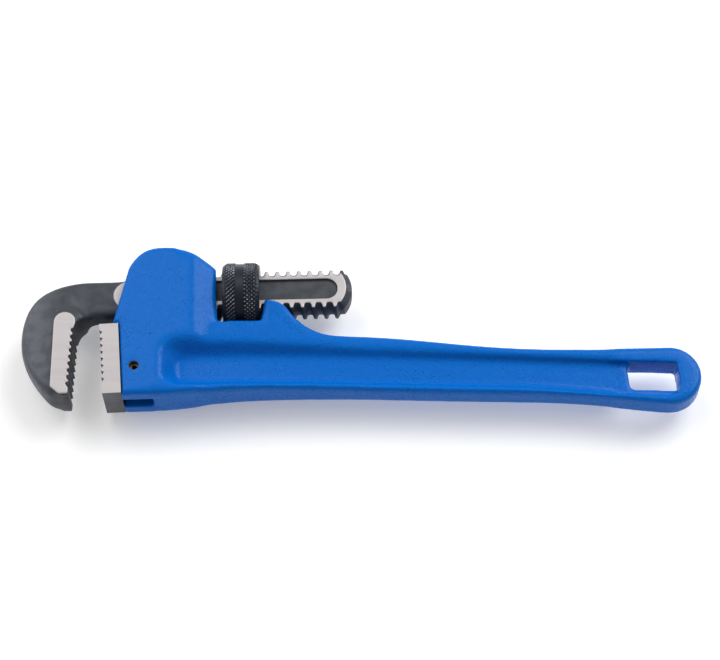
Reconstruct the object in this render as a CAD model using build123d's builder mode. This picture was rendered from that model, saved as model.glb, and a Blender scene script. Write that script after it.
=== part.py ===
from build123d import *

# Heavy-duty straight pipe wrench, nominal size 10 inches, in millimetres.
# It lies on its side: +X runs along the adjusting nut's axis from the hook to the handle's end,
# the jaws open towards -Y, and Z is the thickness. Every sub-part is laid out from one datum,
# the middle of the adjusting nut, which lies in the wrench's middle plane.

import os

os.makedirs("parts", exist_ok=True)

# ---- the datum ----
NUT_RADIUS = 12.5
HOOK_REACH = 80.7        # datum to the back of the hook, towards -X
HANDLE_REACH = 167.1     # datum to the handle's end, towards +X
CROWN_HEIGHT = 17.4      # datum to the top of the head, towards +Y
HANDLE_DROP = 49.4       # datum to the lowest point of the handle's end, towards -Y
DATUM = Vector((HOOK_REACH - HANDLE_REACH) / 2, (HANDLE_DROP - CROWN_HEIGHT) / 2, NUT_RADIUS)
MID = Plane(origin=DATUM)
EASE = (0.5, 0.5)        # how strongly a spline's end directions pull

# ---- thread shared by the hook jaw and the nut ----
PITCH = 4.0
CREST_RADIUS = 9.0
ROOT_RADIUS = 7.4
TOOTH_TIP = 1.1          # width of a thread tooth at its crest
TOOTH_BASE = 2.1         # and at its root
TOOTH_PHASE = 2.07       # X of one tooth's middle on the jaw's +Z side
THREAD_PLAY = 0.2        # clearance on every flank, crest and root
EMBED = 0.3              # how far a ridge is sunk into the body that carries it

# ---- hook jaw ----
SHANK_HALF = 5.0         # half thickness of the ground shank
NECK_HALF = 4.75         # half thickness of the forged neck
LEG_HALF = 6.2           # half thickness of the forged hook
BOSS_HALF = 7.1          # half thickness of the swelling round the teeth
PAD_HALF = 7.7           # half thickness over the ground pads
NECK_TOP = 5.9
NECK_BOTTOM = -9.0
LEG_TOP = (-65.0, 2.9)    # where the thick leg starts, below the neck's back
PLAIN_END = -20.0        # the thread starts here
FLAT_TOP = 5.2           # the shank's ground flats, which end in an arc towards the hook
FLAT_BOTTOM = -6.4
FLAT_ARC = -41.0
FLAT_TIP = (-46.6, -0.6)
SHANK_END = 41.0
END_RADIUS = 12.0
END_MIDDLE = 0.6         # height of the rounded end's centre
END_BEVEL = 2.2
TOOTH_PITCH = 2.7        # gripping teeth of both jaws
NOTCH_DEPTH = 1.1
NOTCH_WIDTH = 2.2
HOOK_NOTCHES = 9
HOOK_FIRST_NOTCH = (-61.25, -16.0)
HOOK_LEAN = -2.9         # degrees the hook's row of teeth leans from square
WEB_HALF = 4.0           # half thickness of the shank's web, between the ground rims
WEB_HEIGHT = 8.0
WEB_MIDDLE = 0.1         # height of the web's centre line
WEB_START = -42.0
WEB_END = 35.6

# ---- adjusting nut ----
NUT_FRONT = -6.7
NUT_REAR = 6.9
NUT_BEVEL_AXIAL = 1.6
NUT_BEVEL_RADIAL = 1.1
BAND_START = -1.8        # the plain band between the two knurls
BAND_END = 1.2
BAND_DEPTH = 0.35

# ---- handle ----
HEAD_HALF = 9.0          # half thickness of the head
NOSE = (-47.0, -13.9)    # the head's front corner, which overhangs the heel jaw
BROW = (-41.6, 8.6)
WAIST_HALF = 7.5         # behind the head, under the nut
GRIP_HALF = 5.5          # along the handle
HEAD_END = -17.0         # the head is full thickness up to here
WAIST_START = -12.4
GRIP_START = 45.0
FLOOR_HALF = 2.7         # half thickness of the handle's web
MOUTH_LEVEL = 9.4        # where the recess walls are drawn to, outside the head
FLOOR_CORNER = 4.0       # corner radii of the recess, at the web and at its mouth
MOUTH_CORNER = 6.0
HANG_CORNER = 1.8        # corner radii of the hanging hole
HANG_ROUND = 6.0
CHANNEL_HALF = 5.3       # half width of the slot that guides the shank
CHANNEL_ROOF = 9.4
LIP_LEVEL = -9.4         # floor of the slot at the front, on which the jaw rocks
LIP_END = -39.0
CHANNEL_FLOOR = -12.5    # low enough for the flat spring's ends when the jaw rocks
SEAT_TOP = (-44.7, -14.0)
SEAT_BOTTOM = (-42.9, -42.6)
OUTER_ROUND = 1.9
CROWN_REAR = (-9.2, 8.6)
WINDOW_FRONT = -8.6
WINDOW_REAR = 7.3
WINDOW_FLOOR = -12.45    # under the nut, at the casting's faces
GROOVE_RADIUS = 12.9     # hollow in that floor, which leaves the nut room to rock
GROOVE_MIDDLE = -1.65
CHEEK_TOP = (8.4, -4.3)

# ---- heel jaw and its pin ----
HEEL_HALF = 8.9
HEEL_TOP_FRONT = (-51.6, -14.4)
HEEL_BOTTOM_FRONT = (-49.8, -42.2)
HEEL_BOTTOM_REAR = (-42.94, -42.0)
HEEL_NOTCHES = 8
HEEL_FIRST_NOTCH = (-51.37, -17.9)
HEEL_LEAN = 3.7
TONGUE_HALF = 3.0
SLOT_HALF = 3.1
TONGUE_REAR = -33.0
TONGUE_TOP = -23.5
TONGUE_BOTTOM = -38.8
SLOT_REAR = -32.0
SLOT_TOP = -23.0
PIN_AT = (-38.6, -31.4)
PIN_RADIUS = 1.6
PIN_BORE = 0.9
PIN_HALF_LENGTH = 7.0
PIN_SLIT = 0.6

# ---- springs ----
SPRING_X = -24.0
COIL_RADIUS = 2.2        # to the middle of the wire
WIRE_RADIUS = 0.45
COIL_BOTTOM = -19.3
COIL_TOP = -10.4
COIL_PITCH = 1.45
POCKET_RADIUS = 3.2
POCKET_BOTTOM = -19.8
STRIP_LENGTH = 25.0
STRIP_WIDTH = 7.0
STRIP_THICKNESS = 0.8
STRIP_TOP = -9.4
STRIP_BOW = 0.9
RIVET_RADIUS = 0.8
RIVET_COLLAR = 1.5
RIVET_BOTTOM = -11.6


def station(x):
    """A cross-section plane at x from the datum: local x is +Y, local y is +Z."""
    return Plane(origin=DATUM + Vector(x, 0, 0), x_dir=(0, 1, 0), z_dir=(1, 0, 0))


def level(y):
    """A plane square to Y at y from the datum, facing down: local x is +X, local y is +Z."""
    return Plane(origin=DATUM + Vector(0, y, 0), x_dir=(1, 0, 0), z_dir=(0, -1, 0))


def thread_ridge(inner, outer, base, tip, start, length):
    """A right-handed helical ridge about the nut's axis, from radius inner to radius outer."""
    with BuildLine() as path:
        Helix(PITCH, length, inner, center=DATUM + Vector(start, 0, 0), direction=(1, 0, 0))
    root = path.line @ 0
    across = Vector(0, root.Y - DATUM.Y, root.Z - DATUM.Z).normalized()
    section = Plane(origin=root, x_dir=(1, 0, 0), z_dir=Vector(1, 0, 0).cross(across))
    with BuildPart() as ridge:
        with BuildSketch(section):
            with BuildLine():
                Polyline(
                    (-base / 2, 0),
                    (base / 2, 0),
                    (tip / 2, outer - inner),
                    (-tip / 2, outer - inner),
                    close=True,
                )
            make_face()
        sweep(path=path.line, is_frenet=True)
    return ridge.part


def notch_places(first, lean, count):
    """Places of a row of notches that starts at first and runs down, leaning from square."""
    step = Vector(0, -TOOTH_PITCH).rotate(Axis.Z, lean)
    return [
        Location((first[0] + step.X * i, first[1] + step.Y * i, 0), (0, 0, lean))
        for i in range(count)
    ]


def notch(side):
    """One leaning V notch, cut into a row of teeth towards side, 1 for +X and -1 for -X."""
    with BuildSketch() as outline:
        with BuildLine():
            Polyline(
                (-side * NOTCH_DEPTH, NOTCH_WIDTH),
                (-side * NOTCH_DEPTH, -NOTCH_WIDTH),
                (0, -0.58 * NOTCH_WIDTH),
                (side * NOTCH_DEPTH, 0.1 * NOTCH_WIDTH),
                (0, 0.42 * NOTCH_WIDTH),
                close=True,
            )
        make_face()
    return outline.sketch


# ---------------------------------------------------------------- handle
# The recess between the flanges, as a floor outline at the web and a wider one at its mouth.
FLOOR_TOP = [(-23.5, -25.6), (0.0, -25.7), (25.0, -26.6), (58.0, -28.2), (104.0, -30.6), (140.0, -32.5)]
FLOOR_END = [(158.6, -33.4), (158.8, -46.6)]
FLOOR_BASE = [(140.0, -45.2), (104.0, -41.2), (58.0, -38.8), (25.0, -37.3), (0.0, -36.6), (-23.5, -36.4)]
MOUTH_TOP = [(-29.4, -20.3), (0.0, -19.4), (25.0, -20.2), (58.0, -22.8), (104.0, -27.4), (140.0, -32.2)]
MOUTH_END = [(159.2, -33.0), (159.4, -47.2)]
MOUTH_BASE = [(140.0, -46.6), (104.0, -43.4), (58.0, -41.6), (25.0, -40.4), (0.0, -39.6), (-29.4, -39.4)]

with BuildPart() as handle:
    with BuildSketch(MID):
        with BuildLine():
            Polyline(SEAT_BOTTOM, SEAT_TOP, NOSE, BROW)
            Spline(
                BROW,
                (-37.0, 15.0),
                (-27.6, CROWN_HEIGHT),
                (-17.5, 15.1),
                CROWN_REAR,
                tangents=[(0.25, 1.0), (0.7, -0.7)],
                tangent_scalars=EASE,
            )
            Polyline(
                CROWN_REAR, (WINDOW_FRONT, WINDOW_FLOOR), (WINDOW_REAR, WINDOW_FLOOR), CHEEK_TOP
            )
            Spline(
                CHEEK_TOP,
                (13.2, -4.8),
                (20.3, -11.9),
                (27.0, -17.0),
                (42.0, -19.3),
                (84.0, -23.9),
                (112.0, -26.2),
                (155.6, -26.8),
                tangents=[(1.0, 0.5), (1.0, 0.0)],
                tangent_scalars=EASE,
            )
            ThreePointArc((155.6, -26.8), (HANDLE_REACH, -38.1), (155.6, -HANDLE_DROP))
            Spline(
                (155.6, -HANDLE_DROP),
                (131.0, -46.4),
                (94.0, -43.9),
                (58.0, -42.3),
                (14.0, -40.6),
                (-8.0, -41.1),
                (-28.0, -42.6),
                tangents=[(-1.0, 0.0), (-1.0, 0.0)],
                tangent_scalars=EASE,
            )
            Line((-28.0, -42.6), SEAT_BOTTOM)
        make_face()
    extrude(amount=HEAD_HALF, both=True)

    # seen from above, the head steps down to a waist, which thins towards the grip
    with BuildSketch(level(CROWN_HEIGHT + 2)):
        with BuildLine():
            with_taper = Polyline(
                (-60.0, 0.0),
                (-60.0, HEAD_HALF),
                (HEAD_END, HEAD_HALF),
                (WAIST_START, WAIST_HALF),
                (GRIP_START, GRIP_HALF),
                (HANDLE_REACH + 5, GRIP_HALF),
                (HANDLE_REACH + 5, 0.0),
            )
            mirror(with_taper, about=Plane.XZ)
        make_face()
    extrude(amount=HANDLE_DROP + CROWN_HEIGHT + 4, mode=Mode.INTERSECT)

    # the casting's edges are rounded all the way round
    walls = handle.faces().filter_by(lambda face: abs(face.normal_at().Z) < 0.01)
    outer = walls.edges().filter_by(lambda edge: abs((edge @ 0.5).Z - DATUM.Z) > GRIP_HALF / 2)
    fillet(outer.filter_by(lambda edge: abs((edge % 0.5).Z) < 0.5), OUTER_ROUND)

    # a hollow in the window's floor for the nut
    with BuildSketch(station(WINDOW_FRONT)):
        with Locations((GROOVE_MIDDLE, 0)):
            Circle(GROOVE_RADIUS)
    extrude(amount=WINDOW_REAR - WINDOW_FRONT, mode=Mode.SUBTRACT)

    # the slot that guides the shank, through the head and between the cheeks behind the nut
    with BuildSketch(MID):
        with BuildLine():
            Polyline(
                (-60.0, LIP_LEVEL),
                (LIP_END, LIP_LEVEL),
                (LIP_END + 3.0, CHANNEL_FLOOR),
                (30.0, CHANNEL_FLOOR),
                (30.0, CHANNEL_ROOF),
                (-60.0, CHANNEL_ROOF),
                close=True,
            )
        make_face()
    extrude(amount=CHANNEL_HALF, both=True, mode=Mode.SUBTRACT)

    # the recesses that leave a web between two flanges
    for side in (MID, Plane(origin=DATUM, x_dir=(1, 0, 0), z_dir=(0, 0, -1))):
        flip = side.z_dir.Z
        with BuildPart(mode=Mode.PRIVATE) as pocket:
            for height, points, corner in (
                (FLOOR_HALF, FLOOR_TOP + FLOOR_END + FLOOR_BASE, FLOOR_CORNER),
                (MOUTH_LEVEL, MOUTH_TOP + MOUTH_END + MOUTH_BASE, MOUTH_CORNER),
            ):
                with BuildSketch(side.offset(height)):
                    with BuildLine():
                        Polyline(*[(x, flip * y) for x, y in points], close=True)
                    outline = make_face()
                    ends = outline.vertices().sort_by(Axis.X)
                    fillet(ends[:2] + ends[-2:], corner)
            loft(ruled=True)
        add(pocket.part, mode=Mode.SUBTRACT)

    # the hanging hole
    with BuildSketch(MID):
        with BuildLine():
            Polyline((140.4, -32.6), (158.5, -33.4), (158.5, -43.4), (141.2, -42.5), close=True)
        hole = make_face()
        corners = hole.vertices()
        fillet(corners.sort_by(Axis.X)[:2], HANG_CORNER)
        right = hole.vertices().sort_by(Axis.X)[-2:].sort_by(Axis.Y)
        fillet(right[-1], HANG_ROUND)
    extrude(amount=HEAD_HALF, both=True, mode=Mode.SUBTRACT)

    # the slot for the heel jaw's tongue, open in front and below, and the hole for its pin
    with BuildSketch(MID):
        with BuildLine():
            Polyline(
                (-50.0, SLOT_TOP),
                (SLOT_REAR, SLOT_TOP),
                (SLOT_REAR, -50.0),
                (-50.0, -50.0),
                close=True,
            )
        make_face()
    extrude(amount=SLOT_HALF, both=True, mode=Mode.SUBTRACT)
    with BuildSketch(MID):
        with Locations(PIN_AT):
            Circle(PIN_RADIUS)
    extrude(amount=HEAD_HALF, both=True, mode=Mode.SUBTRACT)

    # the blind pocket for the coil spring, in the floor of the shank's slot
    with BuildSketch(level(CHANNEL_FLOOR)):
        with Locations((SPRING_X, 0)):
            Circle(POCKET_RADIUS)
    extrude(amount=CHANNEL_FLOOR - POCKET_BOTTOM, mode=Mode.SUBTRACT)

handle.part.label = "handle"
export_step(handle.part, "parts/handle.step")

# ---------------------------------------------------------------- hook jaw
with BuildPart() as hook_jaw:
    # the forged hook, from its tip over the throat to the plain end of the shank
    with BuildSketch(MID):
        with BuildLine():
            Polyline((PLAIN_END - 1.0, NECK_BOTTOM), (PLAIN_END - 1.0, NECK_TOP), (-58.0, NECK_TOP))
            Spline(
                (-58.0, NECK_TOP),
                (-72.6, 1.4),
                (-HOOK_REACH, -15.0),
                (-77.6, -31.0),
                (-70.0, -41.2),
                tangents=[(-1.0, 0.0), (0.8, -0.7)],
                tangent_scalars=EASE,
            )
            ThreePointArc((-70.0, -41.2), (-68.2, -42.1), (-66.2, -42.4))
            Line((-66.2, -42.4), (-62.55, -42.2))
            Line((-62.55, -42.2), HOOK_FIRST_NOTCH)
            throat_end = (-52.6, NECK_BOTTOM)
            Spline(
                HOOK_FIRST_NOTCH,
                (-58.9, -11.2),
                throat_end,
                tangents=[(0.1, 1.0), (1.0, 0.0)],
                tangent_scalars=EASE,
            )
            Line(throat_end, (PLAIN_END - 1.0, NECK_BOTTOM))
        make_face()
    extrude(amount=NECK_HALF, both=True)

    # the leg is thicker than the neck, and swells again round the ground pads
    with BuildSketch(MID):
        with BuildLine():
            Spline(
                LEG_TOP,
                (-73.2, -0.7),
                (-HOOK_REACH + 0.8, -15.0),
                (-77.2, -30.6),
                (-69.6, -40.9),
                tangents=[(-1.0, -0.4), (0.8, -0.7)],
                tangent_scalars=EASE,
            )
            ThreePointArc((-69.6, -40.9), (-68.0, -41.9), (-66.2, -42.1))
            Line((-66.2, -42.1), (-62.55, -42.0))
            Line((-62.55, -42.0), HOOK_FIRST_NOTCH)
            Spline(
                HOOK_FIRST_NOTCH,
                (-60.3, -11.9),
                LEG_TOP,
                tangents=[(0.1, 1.0), (-1.0, 0.5)],
                tangent_scalars=EASE,
            )
        make_face()
    extrude(amount=LEG_HALF, both=True)
    with BuildSketch(MID):
        with BuildLine():
            Polyline(
                (-62.55, -41.9),
                HOOK_FIRST_NOTCH,
                (-60.8, -14.0),
                (-58.8, -12.0),
                (-56.6, -10.6),
                (-59.4, -6.6),
                (-69.4, -6.6),
                (-70.2, -20.0),
                (-70.6, -38.2),
                (-67.0, -41.9),
                close=True,
            )
        swelling = make_face()
        fillet(swelling.vertices().sort_by(Axis.Y)[-2:], 4.0)
    extrude(amount=BOSS_HALF, both=True)

    # the ground pads beside the teeth, round at the top
    with BuildSketch(MID):
        with BuildLine():
            top_left = (-68.4, -12.3)
            top_right = (-60.6, -12.1)
            ThreePointArc(top_left, (-64.5, -8.5), top_right)
            Polyline(
                top_right,
                (-60.8, -13.6),
                HOOK_FIRST_NOTCH,
                (-62.4, -41.3),
                (-65.6, -41.4),
                (-68.9, -38.4),
                top_left,
            )
        make_face()
    extrude(amount=PAD_HALF, both=True)

    # the shank: a root bar with its thread, ground flat on both sides
    with BuildSketch(station(PLAIN_END - 1.0)):
        Circle(ROOT_RADIUS)
        Rectangle(3 * ROOT_RADIUS, 2 * SHANK_HALF, mode=Mode.INTERSECT)
    extrude(amount=SHANK_END - PLAIN_END + 1.0)
    with BuildSketch(MID):
        with BuildLine():
            Polyline((PLAIN_END, FLAT_TOP), (FLAT_ARC, FLAT_TOP))
            ThreePointArc((FLAT_ARC, FLAT_TOP), FLAT_TIP, (FLAT_ARC, FLAT_BOTTOM))
            Polyline((FLAT_ARC, FLAT_BOTTOM), (PLAIN_END, FLAT_BOTTOM), (PLAIN_END, FLAT_TOP))
        make_face()
    extrude(amount=SHANK_HALF, both=True)
    with BuildPart(mode=Mode.PRIVATE) as teeth:
        add(
            thread_ridge(
                ROOT_RADIUS - EMBED,
                CREST_RADIUS,
                TOOTH_BASE,
                TOOTH_TIP,
                TOOTH_PHASE - 7 * PITCH,
                17 * PITCH,
            )
        )
        with BuildSketch(station(PLAIN_END - 0.5)):
            Rectangle(3 * CREST_RADIUS, 2 * SHANK_HALF)
        extrude(amount=SHANK_END - PLAIN_END - 2.0, mode=Mode.INTERSECT)
    add(teeth.part)

    # the rounded, bevelled end of the shank
    with BuildPart(mode=Mode.PRIVATE) as keep:
        with BuildSketch(MID.offset(-SHANK_HALF)):
            with Locations((SHANK_END - END_RADIUS, END_MIDDLE)):
                Circle(END_RADIUS)
        extrude(amount=2 * SHANK_HALF)
        chamfer(keep.edges().filter_by(GeomType.CIRCLE), END_BEVEL)
        with BuildSketch(MID):
            with Locations((SHANK_END - END_RADIUS, 0)):
                Rectangle(150, 150, align=(Align.MAX, Align.CENTER))
        extrude(amount=PAD_HALF, both=True)
    add(keep.part, mode=Mode.INTERSECT)

    # the sunken webs between the shank's ground rims
    with BuildSketch(MID.offset(WEB_HALF)):
        with Locations(((WEB_START + WEB_END) / 2, WEB_MIDDLE)):
            SlotOverall(WEB_END - WEB_START, WEB_HEIGHT)
    extrude(amount=SHANK_HALF, mode=Mode.SUBTRACT)
    with BuildSketch(MID.offset(-WEB_HALF)):
        with Locations(((WEB_START + WEB_END) / 2, WEB_MIDDLE)):
            SlotOverall(WEB_END - WEB_START, WEB_HEIGHT)
    extrude(amount=-SHANK_HALF, mode=Mode.SUBTRACT)

    # the gripping teeth
    with BuildSketch(MID):
        with Locations(*notch_places(HOOK_FIRST_NOTCH, HOOK_LEAN, HOOK_NOTCHES)):
            add(notch(-1))
    extrude(amount=2 * PAD_HALF, both=True, mode=Mode.SUBTRACT)

hook_jaw.part.label = "hook_jaw"
export_step(hook_jaw.part, "parts/hook_jaw.step")

# ---------------------------------------------------------------- adjusting nut
with BuildPart() as adjusting_nut:
    with BuildSketch(station(NUT_FRONT)):
        Circle(NUT_RADIUS)
    extrude(amount=NUT_REAR - NUT_FRONT)
    rims = adjusting_nut.edges().filter_by(GeomType.CIRCLE)
    for rim in rims:
        chamfer(rim, NUT_BEVEL_AXIAL, NUT_BEVEL_RADIAL)
    with BuildSketch(station(BAND_START)):
        Circle(NUT_RADIUS + 1.0)
        Circle(NUT_RADIUS - BAND_DEPTH, mode=Mode.SUBTRACT)
    extrude(amount=BAND_END - BAND_START, mode=Mode.SUBTRACT)
    with BuildSketch(station(NUT_FRONT)):
        Circle(CREST_RADIUS + THREAD_PLAY)
    extrude(amount=NUT_REAR - NUT_FRONT, mode=Mode.SUBTRACT)

    # the thread stands inwards into the gaps between the jaw's teeth
    with BuildPart(mode=Mode.PRIVATE) as inner_thread:
        flank = (TOOTH_BASE - TOOTH_TIP) / (CREST_RADIUS - ROOT_RADIUS)
        crest = ROOT_RADIUS + THREAD_PLAY
        base = CREST_RADIUS + THREAD_PLAY + EMBED
        gap = PITCH - TOOTH_BASE + flank * THREAD_PLAY - 2 * THREAD_PLAY
        add(
            thread_ridge(
                crest,
                base,
                gap,
                gap + flank * (base - crest),
                TOOTH_PHASE + PITCH / 2 - 3 * PITCH,
                6 * PITCH,
            )
        )
        with BuildSketch(station(NUT_FRONT)):
            Circle(base + 1.0)
        extrude(amount=NUT_REAR - NUT_FRONT, mode=Mode.INTERSECT)
    add(inner_thread.part)

adjusting_nut.part.label = "adjusting_nut"
export_step(adjusting_nut.part, "parts/adjusting_nut.step")

# ---------------------------------------------------------------- heel jaw
with BuildPart() as heel_jaw:
    with BuildSketch(MID):
        with BuildLine():
            Polyline(
                HEEL_TOP_FRONT,
                HEEL_BOTTOM_FRONT,
                HEEL_BOTTOM_REAR,
                SEAT_TOP,
                (SEAT_TOP[0] - 0.3, SEAT_TOP[1] - 0.2),
                close=True,
            )
        make_face()
        with Locations(*notch_places(HEEL_FIRST_NOTCH, HEEL_LEAN, HEEL_NOTCHES)):
            add(notch(1), mode=Mode.SUBTRACT)
    extrude(amount=HEEL_HALF, both=True)

    # the tongue that goes into the head, and its pin hole
    with BuildSketch(MID):
        with BuildLine():
            Polyline(
                (-46.0, TONGUE_TOP),
                (TONGUE_REAR, TONGUE_TOP),
                (TONGUE_REAR, TONGUE_BOTTOM),
                (-46.0, TONGUE_BOTTOM),
                close=True,
            )
        make_face()
        with Locations(PIN_AT):
            Circle(PIN_RADIUS, mode=Mode.SUBTRACT)
    extrude(amount=TONGUE_HALF, both=True)

heel_jaw.part.label = "heel_jaw"
export_step(heel_jaw.part, "parts/heel_jaw.step")

# a rolled spring pin, sunk below the head's faces
with BuildPart() as heel_jaw_pin:
    with BuildSketch(MID):
        with Locations(PIN_AT):
            Circle(PIN_RADIUS)
            Circle(PIN_BORE, mode=Mode.SUBTRACT)
            with Locations((PIN_RADIUS, 0)):
                Rectangle(2 * PIN_RADIUS, PIN_SLIT, mode=Mode.SUBTRACT)
    extrude(amount=PIN_HALF_LENGTH, both=True)

heel_jaw_pin.part.label = "heel_jaw_pin"
export_step(heel_jaw_pin.part, "parts/heel_jaw_pin.step")

# ---------------------------------------------------------------- springs under the shank
with BuildPart() as flat_spring:
    with BuildSketch(MID):
        with BuildLine():
            half = STRIP_LENGTH / 2
            low = STRIP_TOP - STRIP_BOW
            ThreePointArc((SPRING_X - half, low), (SPRING_X, STRIP_TOP), (SPRING_X + half, low))
            Line((SPRING_X + half, low), (SPRING_X + half, low - STRIP_THICKNESS))
            ThreePointArc(
                (SPRING_X + half, low - STRIP_THICKNESS),
                (SPRING_X, STRIP_TOP - STRIP_THICKNESS),
                (SPRING_X - half, low - STRIP_THICKNESS),
            )
            Line((SPRING_X - half, low - STRIP_THICKNESS), (SPRING_X - half, low))
        make_face()
    extrude(amount=STRIP_WIDTH / 2, both=True)
    with BuildSketch(level(STRIP_TOP + 1.0)):
        with Locations((SPRING_X, 0)):
            Circle(RIVET_RADIUS)
    extrude(amount=STRIP_THICKNESS + STRIP_BOW + 2.0, mode=Mode.SUBTRACT)

flat_spring.part.label = "flat_spring"
export_step(flat_spring.part, "parts/flat_spring.step")

# the rivet sits flush in the strip; its collar centres the coil spring
with BuildPart() as spring_rivet:
    with BuildSketch(level(STRIP_TOP - 0.05)):
        with Locations((SPRING_X, 0)):
            Circle(RIVET_RADIUS)
    extrude(amount=STRIP_TOP - 0.05 - RIVET_BOTTOM)
    with BuildSketch(level(STRIP_TOP - STRIP_THICKNESS - 0.02)):
        with Locations((SPRING_X, 0)):
            Circle(RIVET_COLLAR)
    extrude(amount=STRIP_TOP - STRIP_THICKNESS - RIVET_BOTTOM)

spring_rivet.part.label = "spring_rivet"
export_step(spring_rivet.part, "parts/spring_rivet.step")

with BuildPart() as coil_spring:
    with BuildLine() as coil:
        Helix(
            COIL_PITCH,
            COIL_TOP - COIL_BOTTOM - 2 * WIRE_RADIUS,
            COIL_RADIUS,
            center=DATUM + Vector(SPRING_X, COIL_BOTTOM + WIRE_RADIUS, 0),
            direction=(0, 1, 0),
        )
    with BuildSketch(Plane(origin=coil.line @ 0, z_dir=coil.line % 0)):
        Circle(WIRE_RADIUS)
    sweep(path=coil.line, is_frenet=True)

coil_spring.part.label = "coil_spring"
export_step(coil_spring.part, "parts/coil_spring.step")
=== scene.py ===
import logging
import math
from contextlib import contextmanager
from dataclasses import dataclass, field
from enum import Enum
from typing import Callable, Iterator

import bpy
import numpy as np
from mathutils import Matrix, Vector


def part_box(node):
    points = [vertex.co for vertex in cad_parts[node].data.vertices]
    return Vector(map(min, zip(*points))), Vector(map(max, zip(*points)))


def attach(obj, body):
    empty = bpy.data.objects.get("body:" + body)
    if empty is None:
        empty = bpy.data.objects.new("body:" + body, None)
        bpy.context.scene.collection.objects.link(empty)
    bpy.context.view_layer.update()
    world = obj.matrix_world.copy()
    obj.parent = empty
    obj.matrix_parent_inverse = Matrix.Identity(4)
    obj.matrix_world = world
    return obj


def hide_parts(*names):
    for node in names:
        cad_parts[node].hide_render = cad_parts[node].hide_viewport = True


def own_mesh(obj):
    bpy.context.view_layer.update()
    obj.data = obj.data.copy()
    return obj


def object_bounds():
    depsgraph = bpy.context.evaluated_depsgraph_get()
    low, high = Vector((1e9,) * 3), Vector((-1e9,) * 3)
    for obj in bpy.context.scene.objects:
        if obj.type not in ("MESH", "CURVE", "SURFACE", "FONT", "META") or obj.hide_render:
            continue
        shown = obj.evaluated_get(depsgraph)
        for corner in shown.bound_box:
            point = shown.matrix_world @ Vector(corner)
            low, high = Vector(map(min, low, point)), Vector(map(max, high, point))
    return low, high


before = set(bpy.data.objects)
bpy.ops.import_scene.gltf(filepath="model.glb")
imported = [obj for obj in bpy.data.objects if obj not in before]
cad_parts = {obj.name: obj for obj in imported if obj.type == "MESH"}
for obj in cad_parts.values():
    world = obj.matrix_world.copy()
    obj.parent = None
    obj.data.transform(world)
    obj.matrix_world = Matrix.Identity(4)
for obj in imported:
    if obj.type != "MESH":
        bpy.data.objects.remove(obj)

MM = 0.001
SAME_PLACE = 1e-6        # vertices nearer than this, in metres, are one
SOFT_LEVELS = 8          # steps of weight that the smoothing tells apart
CAD_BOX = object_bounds()
LOG = logging.getLogger("pipe_wrench")


class Slot(Enum):
    """The record's material slots."""

    ENAMEL = "blue_enamel"
    FORGED = "forged_steel"
    OXIDE = "black_oxide"
    GROUND = "ground_steel"
    SPRING = "spring_steel"


class Body(Enum):
    """The bodies that pieces ride on."""

    ROOT = "root"
    HOOK = "hook_jaw"
    NUT = "adjusting_nut"


@dataclass(frozen=True)
class Datum:
    """The middle of the adjusting nut, from which the whole wrench is laid out.

    Args:
        x: place along the nut's axis, in metres.
        y: height in the plane of the wrench, in metres.
        z: the wrench's middle plane, in metres.
    """

    x: float
    y: float
    z: float

    @classmethod
    def from_frame(cls, front: float = 6.7 * MM) -> "Datum":
        """Find the datum from the nut's box.

        Args:
            front: distance from the nut's front face to the datum.

        Returns:
            The datum in the row frame.
        """
        low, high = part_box("adjusting_nut")
        return cls(low.x + front, (low.y + high.y) / 2, (low.z + high.z) / 2)

    def at(self, x: float, y: float, z: float = 0.0) -> Vector:
        """Give the point at x, y, z millimetres from the datum."""
        return Vector((self.x + x * MM, self.y + y * MM, self.z + z * MM))

    def local(self, points: np.ndarray) -> np.ndarray:
        """Give points of the row frame in millimetres from the datum."""
        return (points - np.array((self.x, self.y, self.z))) / MM


# -------- mesh work


def pick(piece: bpy.types.Object) -> None:
    """Select one piece alone and make it active."""
    bpy.ops.object.select_all(action="DESELECT")
    piece.select_set(True)
    bpy.context.view_layer.objects.active = piece


@contextmanager
def editing(piece: bpy.types.Object, everything: bool = True) -> Iterator[None]:
    """Edit one piece's mesh for the length of a with block.

    Args:
        piece: the piece to edit.
        everything: whether its whole mesh is selected first.
    """
    pick(piece)
    bpy.ops.object.mode_set(mode="EDIT")
    if everything:
        bpy.ops.mesh.select_all(action="SELECT")
    yield
    bpy.ops.object.mode_set(mode="OBJECT")


def face_outwards(piece: bpy.types.Object) -> None:
    """Turn all normals of a closed piece outwards."""
    with editing(piece):
        bpy.ops.mesh.normals_make_consistent(inside=False)


def apply_modifier(piece: bpy.types.Object, kind: str, **settings: object) -> None:
    """Add one modifier to a piece and apply it.

    Args:
        piece: the piece to shape.
        kind: the modifier's type.
        settings: its properties.
    """
    pick(piece)
    modifier = piece.modifiers.new(kind.lower(), kind)
    for name, value in settings.items():
        setattr(modifier, name, value)
    bpy.ops.object.modifier_apply(modifier=modifier.name)


def solid_copy(node: str, name: str, joined: float = SAME_PLACE) -> bpy.types.Object:
    """Copy a CAD node's mesh into a new piece and join its triangles at their corners.

    Args:
        node: the CAD node.
        name: the new piece's name.
        joined: vertices nearer than this become one.

    Returns:
        The new piece, at the origin.
    """
    piece = bpy.data.objects.new(name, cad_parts[node].data.copy())
    bpy.context.scene.collection.objects.link(piece)
    piece.data.materials.clear()
    with editing(piece):
        bpy.ops.mesh.remove_doubles(threshold=joined)
        bpy.ops.mesh.customdata_custom_splitnormals_clear()
    return piece


def corners(piece: bpy.types.Object) -> np.ndarray:
    """Give a piece's vertices as rows of three numbers."""
    flat = np.zeros(len(piece.data.vertices) * 3)
    piece.data.vertices.foreach_get("co", flat)
    return flat.reshape(-1, 3)


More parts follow.
